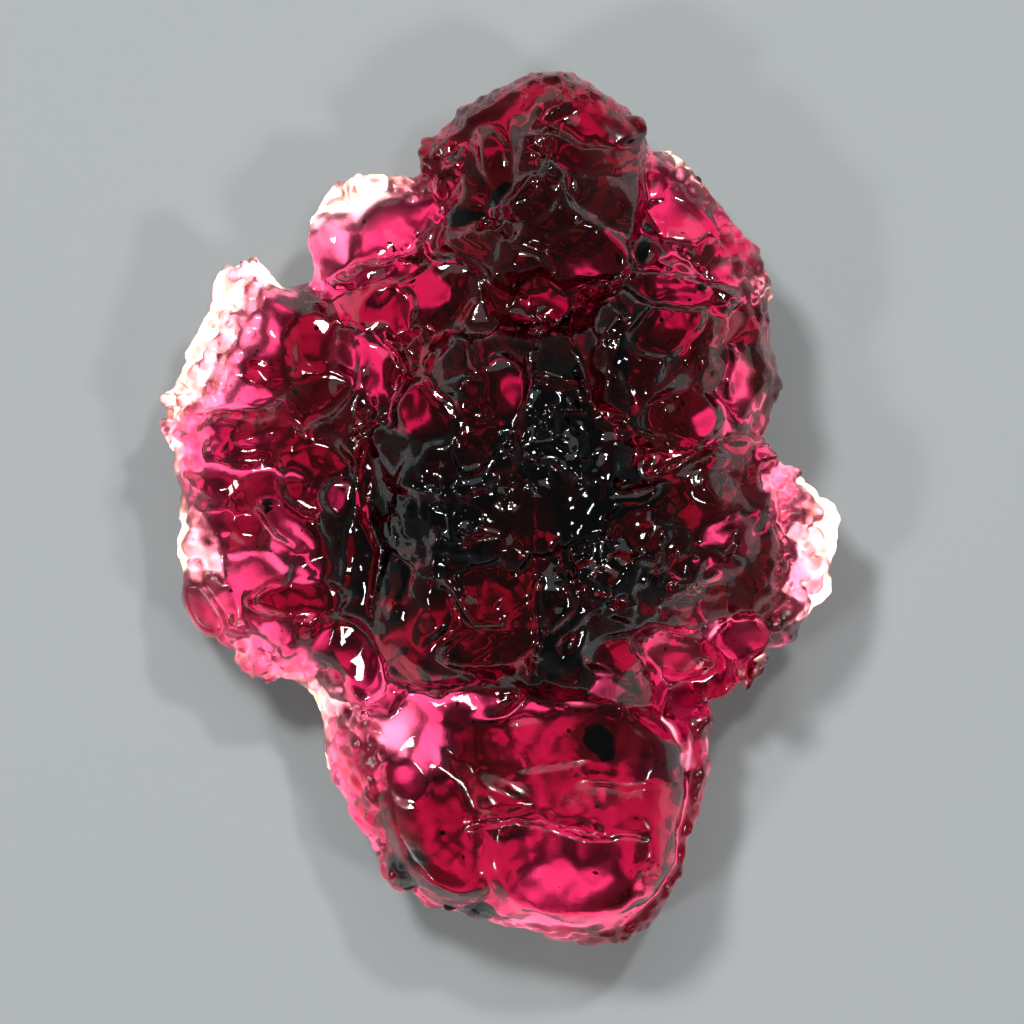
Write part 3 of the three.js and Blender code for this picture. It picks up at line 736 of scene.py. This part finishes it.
# The black grains: centre and half sizes.
DARKS = [
    (-2.6, -0.7, 3.0, 1.1, 1.6, 1.0),
    (-1.4, 0.2, 3.8, 1.3, 0.9, 0.8),
    (1.5, 2.1, 4.0, 1.2, 1.2, 0.9),
    (2.1, -0.7, 3.8, 0.6, 1.3, 0.8),
    (1.4, -3.3, 3.2, 0.4, 1.0, 0.8),
    (2.4, 4.9, 3.6, 0.7, 0.8, 0.8),
    (3.6, -1.3, 3.6, 0.9, 0.5, 0.6),
    (3.4, 0.6, 3.8, 0.8, 0.6, 0.7),
    (-0.4, 7.9, 3.4, 0.5, 0.3, 0.5),
    (0.6, 8.7, 3.8, 0.5, 0.2, 0.5),
    (3.7, 7.1, 3.6, 0.4, 0.5, 0.5),
    (2.9, -6.3, 3.4, 0.35, 0.4, 0.5),
    (-2.3, -9.8, 3.1, 0.5, 0.6, 0.45),
    (-0.4, -10.9, 3.1, 0.6, 0.4, 0.45),
]


def inclusions():
    """Dark grains sealed in the thick middle of the stone."""
    low = np.floor(np.array([-5.0, -12.0, 0.8]) / VOXEL).astype(int)
    high = np.ceil(np.array([6.0, 11.5, 6.2]) / VOXEL).astype(int)
    shape = high - low
    index = np.stack(np.meshgrid(*[np.arange(n) for n in shape], indexing="ij"), -1).reshape(-1, 3)
    p = ((index + low) * VOXEL).astype(np.float32)
    f = np.full(len(p), 9.0, dtype=np.float32)
    for bx, by, bz, rx, ry, rz in DARKS:
        d = np.sqrt(((p[:, 0] - bx) / rx) ** 2 + ((p[:, 1] - by) / ry) ** 2 + ((p[:, 2] - bz) / rz) ** 2)
        f = np.minimum(f, (d - 1.0) * min(rx, ry, rz))
    close = f < 0.8
    near = cells(p[close], 0.9, 31)[0]
    f[close] += 0.5 * (near - 0.45) + 0.2 * wave(p[close], 0.5, 32)
    return polygons(np.clip(f, -BAND, BAND).reshape(shape), low)


def specks(grid, count=260):
    """Tiny dark flakes scattered through the thinner parts, as flattened octahedra."""
    rng = np.random.default_rng(61)
    corners = np.array([(1, 0, 0), (0, 1, 0), (-1, 0, 0), (0, -1, 0), (0, 0, 1), (0, 0, -1)], dtype=float)
    upper = [(0, 1, 4), (1, 2, 4), (2, 3, 4), (3, 0, 4)]
    under = [(1, 0, 5), (2, 1, 5), (3, 2, 5), (0, 3, 5)]
    faces = np.array(upper + under)
    points, tris = [], []
    while len(points) < count:
        at = rng.uniform((-8.5, -11.5), (8.5, 11.5))
        turn, lean = rng.uniform(0, 2 * math.pi, 2)
        size = 0.03 + 0.07 * rng.random() ** 2
        below, pull = rng.uniform(0.25, 1.0), rng.uniform(0.5, 2.2)
        i, j = np.round(at / VOXEL).astype(int) - grid.low[:2]
        if grid.edge[i, j] < 0.97 or grid.plan[i, j] < below + 0.6:
            continue
        level = grid.top[i, j] - below
        shape = corners * (size * pull, size, 0.4 * size)
        c, s, cl, sl = math.cos(turn), math.sin(turn), math.cos(0.5 * lean), math.sin(0.5 * lean)
        leaning = np.array([(cl, 0, sl), (0, 1, 0), (-sl, 0, cl)])
        turned = np.array([(c, s, 0), (-s, c, 0), (0, 0, 1)])
        shape = shape @ leaning @ turned
        tris.append(faces + 6 * len(points))
        points.append(shape + (at[0], at[1], level))
    return np.concatenate(points) * MM, np.concatenate(tris)


# ------------------------------------------------------------------ meshes


def largest_piece(points, quads):
    """Drops the loose flakes and closed pockets that the relief may leave."""
    label = np.arange(len(points))
    a = quads.ravel()
    b = np.roll(quads, -1, axis=1).ravel()
    while True:
        low = np.minimum(label[a], label[b])
        new = label.copy()
        np.minimum.at(new, a, low)
        np.minimum.at(new, b, low)
        new = new[new]
        if (new == label).all():
            break
        label = new
    keep = label == np.bincount(label).argmax()
    renumber = np.cumsum(keep) - 1
    quads = quads[keep[quads[:, 0]]]
    return points[keep], renumber[quads]


def add_mesh(name, points, faces, rounded=True):
    """A new object of faces that all have as many corners."""
    mesh = bpy.data.meshes.new(name)
    mesh.vertices.add(len(points))
    mesh.vertices.foreach_set("co", points.astype(np.float32).ravel())
    mesh.loops.add(faces.size)
    mesh.loops.foreach_set("vertex_index", faces.astype(np.int32).ravel())
    mesh.polygons.add(len(faces))
    mesh.polygons.foreach_set("loop_start", np.arange(0, faces.size, faces.shape[1], dtype=np.int32))
    mesh.polygons.foreach_set("use_smooth", np.full(len(faces), rounded))
    mesh.update(calc_edges=True)
    mesh.validate()
    obj = bpy.data.objects.new(name, mesh)
    bpy.context.collection.objects.link(obj)
    return obj


def thin_out(obj, most):
    """Leaves at most this many triangles, fewer where the surface is flat."""
    triangles = sum(len(face.vertices) - 2 for face in obj.data.polygons)
    if triangles <= most:
        return
    modifier = obj.modifiers.new("thin_out", "DECIMATE")
    modifier.ratio = most / triangles
    done = obj.evaluated_get(bpy.context.evaluated_depsgraph_get())
    mesh = bpy.data.meshes.new_from_object(done)
    obj.modifiers.clear()
    obj.data = mesh


def mark(mesh, name, values):
    """Stores one number for each vertex, for the material to read."""
    mesh.attributes.new(name, "FLOAT", "POINT").data.foreach_set("value", values.astype(np.float32))


def mark_regions(mesh, grid):
    """Marks what is frosted, what is stained grain, what gets painted shade along its outline, and what is
    finely pitted.
    """
    normals = np.zeros(len(mesh.vertices) * 3, dtype=np.float32)
    mesh.vertex_normals.foreach_get("vector", normals)
    points = np.zeros(len(mesh.vertices) * 3, dtype=np.float32)
    mesh.vertices.foreach_get("co", points)
    x, y, z = points.reshape(-1, 3).T / MM
    i = np.clip(np.round(x / VOXEL).astype(int) - grid.low[0], 0, grid.shape[0] - 1)
    j = np.clip(np.round(y / VOXEL).astype(int) - grid.low[1], 0, grid.shape[1] - 1)
    edge = inwards(grid.inside, 0.8)[i, j]
    rim = np.maximum(0.5 * (1.0 - smooth(0.55, 1.0, edge)), grainy(x, y)) * (1.0 - grid.main[i, j])
    rim *= 1.0 - 0.9 * spot(x, y, (0.6, 10.4), (2.4, 2.2)) - 0.9 * spot(x, y, (7.2, 3.6), (1.2, 2.0))
    rim *= 1.0 - 0.9 * spot(x, y, (6.9, -4.3), (1.4, 1.1))
    low = smooth(0.0, 0.5, grid.middle[i, j] - 0.2 - z)
    under = np.maximum(1.0 - smooth(-0.5, -0.1, normals[2::3]), low)
    rim = np.maximum(rim, 0.6 * low)
    mark(mesh, "frost", np.maximum.reduce([under, 0.5 * rim, 0.2 * regions(x, y)[1]]))
    mark(mesh, "rim", rim)
    border = 1.0 - smooth(0.45, 0.75, grid.edge[i, j])
    # painted shade: a dark band on the outline's walls at the crown, the right side, the crystal below and
    # the lower left rim
    mark(mesh, "painted_edge_shade", border * np.maximum(dark_rim(x, y), spot(x, y, (-6.6, -3.6), (2.2, 1.8))))
    mark(mesh, "sparkle", np.maximum(0.8 * spot(x, y, (1.0, -8.3), (4.6, 3.4), 0.2), 0.5 * rim) + 0.15)


# ------------------------------------------------------------------ materials


def noise(nodes, links, scale):
    """A noise texture of this many features to the metre."""
    place = nodes.new("ShaderNodeTexCoord")
    texture = nodes.new("ShaderNodeTexNoise")
    texture.inputs["Scale"].default_value = scale
    texture.inputs["Detail"].default_value = 1.0
    links.new(place.outputs["Object"], texture.inputs["Vector"])
    return texture.outputs["Fac"]


def marked(nodes, name):
    """What mark stored on the vertices under this name."""
    attribute = nodes.new("ShaderNodeAttribute")
    attribute.attribute_name = name
    return attribute.outputs["Fac"]


def ranged(nodes, links, value, **ends):
    """A value moved from one range to another."""
    node = nodes.new("ShaderNodeMapRange")
    links.new(value, node.inputs["Value"])
    for end, number in ends.items():
        node.inputs[end.replace("_", " ")].default_value = number
    return node.outputs["Result"]


def blended(nodes, links, colour, share):
    """A node that goes from its input A to this colour."""
    node = nodes.new("ShaderNodeMix")
    node.data_type = "RGBA"
    node.inputs["B"].default_value = colour
    links.new(share, node.inputs["Factor"])
    return node


def painite():
    """Clear crystal that takes out green and blue, frosted below, stained on its grains, and darkened by
    painted shade along its outline.
    """
    m = bpy.data.materials.new("painite_glass")
    m.use_nodes = True
    nodes, links = m.node_tree.nodes, m.node_tree.links
    shader = nodes["Principled BSDF"]
    shader.inputs["Transmission Weight"].default_value = 1.0
    shader.inputs["IOR"].default_value = IOR
    roughness = ranged(nodes, links, marked(nodes, "frost"), To_Min=POLISH, To_Max=FROST)
    links.new(roughness, shader.inputs["Roughness"])

    stain = ranged(nodes, links, noise(nodes, links, STAIN_SCALE), From_Min=0.42, From_Max=0.62)
    amount = nodes.new("ShaderNodeMath")
    amount.operation = "MULTIPLY"
    links.new(stain, amount.inputs[0])
    links.new(marked(nodes, "rim"), amount.inputs[1])
    grains = blended(nodes, links, STAINED, amount.outputs[0])
    grains.inputs["A"].default_value = CLEAN
    # painted shade: the base colour turns dark red-brown along the outline
    edge_shade_mix = blended(nodes, links, EDGE_SHADE_COLOUR, marked(nodes, "painted_edge_shade"))
    links.new(grains.outputs["Result"], edge_shade_mix.inputs["A"])
    links.new(edge_shade_mix.outputs["Result"], shader.inputs["Base Color"])

    bump = nodes.new("ShaderNodeBump")
    bump.inputs["Distance"].default_value = PIT_DEPTH
    links.new(marked(nodes, "sparkle"), bump.inputs["Strength"])
    links.new(noise(nodes, links, PIT_SCALE), bump.inputs["Height"])
    links.new(bump.outputs["Normal"], shader.inputs["Normal"])

    absorb = nodes.new("ShaderNodeVolumeAbsorption")
    per_m = np.array(ABSORPTION) / THICKNESS
    absorb.inputs["Density"].default_value = DENSITY
    absorb.inputs["Color"].default_value = (*(1.0 - per_m / DENSITY), 1.0)
    links.new(absorb.outputs["Volume"], nodes["Material Output"].inputs["Volume"])
    return m


def ink():
    """The black of the sealed-in grains."""
    m = bpy.data.materials.new("inclusion_black")
    m.use_nodes = True
    shader = m.node_tree.nodes["Principled BSDF"]
    shader.inputs["Base Color"].default_value = INK
    shader.inputs["Roughness"].default_value = 0.5
    return m


# ------------------------------------------------------------------ the stage


def floor():
    """A sheet of pale paper, just under the stone."""
    at = (0, 0, PAPER_LEVEL)
    bpy.ops.mesh.primitive_circle_add(vertices=96, radius=PAPER_RADIUS, fill_type="NGON", location=at)
    obj = bpy.context.object
    obj.name = "floor"
    m = bpy.data.materials.new("floor_paper")
    m.use_nodes = True
    shader = m.node_tree.nodes["Principled BSDF"]
    shader.inputs["Base Color"].default_value = PAPER
    shader.inputs["Roughness"].default_value = 0.9
    obj.data.materials.append(m)


def lamp(name, at, size, radiance, aim=(0, 0, 0.003), colour=(1, 1, 1), shape="RECTANGLE"):
    """A flat lamp of this radiance that faces its aim."""
    data = bpy.data.lights.new(name, "AREA")
    data.shape = shape
    data.size, data.size_y = size
    area = size[0] * size[1] * (math.pi / 4 if shape == "ELLIPSE" else 1.0)
    data.energy = radiance * math.pi * area
    data.color = colour
    obj = bpy.data.objects.new(name, data)
    obj.location = at
    bpy.context.collection.objects.link(obj)
    direction = Vector(aim) - Vector(at)
    obj.rotation_euler = direction.to_track_quat("-Z", "Y").to_euler()
    return obj


def lights():
    """A lamp under the stone that only shines through it, soft lamps above, and a dim grey room."""
    glow = lamp("glow", (0, 0, GLOW_LEVEL), GLOW_SIZE, GLOW_RADIANCE, aim=(0, 0, 1), shape="ELLIPSE")
    glow.visible_camera = False
    glow.visible_glossy = False
    glow.visible_diffuse = False
    # azimuth, height above the floor, width, radiance
    softboxes = [
        (95, 62, 0.30, 0.45),
        (125, 60, 0.07, 41.0),
        (60, 56, 0.035, 78.0),
        (215, 50, 0.06, 20.0),
        (330, 55, 0.06, 20.0),
    ]
    for i, (azimuth, elevation, width, radiance) in enumerate(softboxes):
        a, e = math.radians(azimuth), math.radians(elevation)
        way = (math.cos(a) * math.cos(e), math.sin(a) * math.cos(e), math.sin(e))
        at = [SOFTBOX_DISTANCE * part for part in way]
        lamp(f"softbox_{i}", at, (width, width), radiance, colour=SOFTBOX_COLOUR)
    world = bpy.data.worlds.new("studio")
    world.use_nodes = True
    nodes, links = world.node_tree.nodes, world.node_tree.links
    place = nodes.new("ShaderNodeTexCoord")
    split = nodes.new("ShaderNodeSeparateXYZ")
    sky = nodes.new("ShaderNodeValToRGB")
    links.new(place.outputs["Generated"], split.inputs[0])
    links.new(split.outputs["Z"], sky.inputs["Fac"])
    links.new(sky.outputs["Color"], nodes["Background"].inputs["Color"])
    low, high = sky.color_ramp.elements
    low.position, low.color = 0.1, (0.11, 0.115, 0.12, 1)
    high.position, high.color = 0.7, (0.04, 0.042, 0.045, 1)
    bpy.context.scene.world = world


def camera():
    """Looks straight down on the stone."""
    data = bpy.data.cameras.new("camera")
    obj = bpy.data.objects.new("camera", data)
    bpy.context.collection.objects.link(obj)
    obj.location = (VIEW_SIDEWAYS, 0.0, VIEW_LEVEL + VIEW_DISTANCE)
    data.sensor_width = SENSOR
    data.lens = SENSOR * VIEW_DISTANCE / VIEW_WIDTH
    data.clip_start = 0.01
    bpy.context.scene.camera = obj


# ------------------------------------------------------------------ the scene


def make_stone(grid):
    """The visible stone, in place of the CAD body."""
    surface = polygons(shape_underside(relief(grid), grid), grid.low)
    stone = add_mesh("painite_stone", *largest_piece(*surface))
    thin_out(stone, MOST_TRIANGLES)
    mark_regions(stone.data, grid)
    stone.data.materials.append(painite())
    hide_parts(NODE)
    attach(stone, "root")


def make_inclusions(grid):
    """The black grains and flakes that are sealed in the stone."""
    black = ink()
    darks = add_mesh("dark_inclusions", *inclusions())
    flakes = add_mesh("dark_flakes", *specks(grid), rounded=False)
    for piece in (darks, flakes):
        piece.data.materials.append(black)
        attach(piece, "root")


bpy.context.scene.cycles.use_light_tree = False
bpy.context.scene.cycles.max_bounces = 8
camera()
grid = Grid()
make_stone(grid)
make_inclusions(grid)
floor()
lights()
bpy.context.scene.view_settings.view_transform = "Standard"
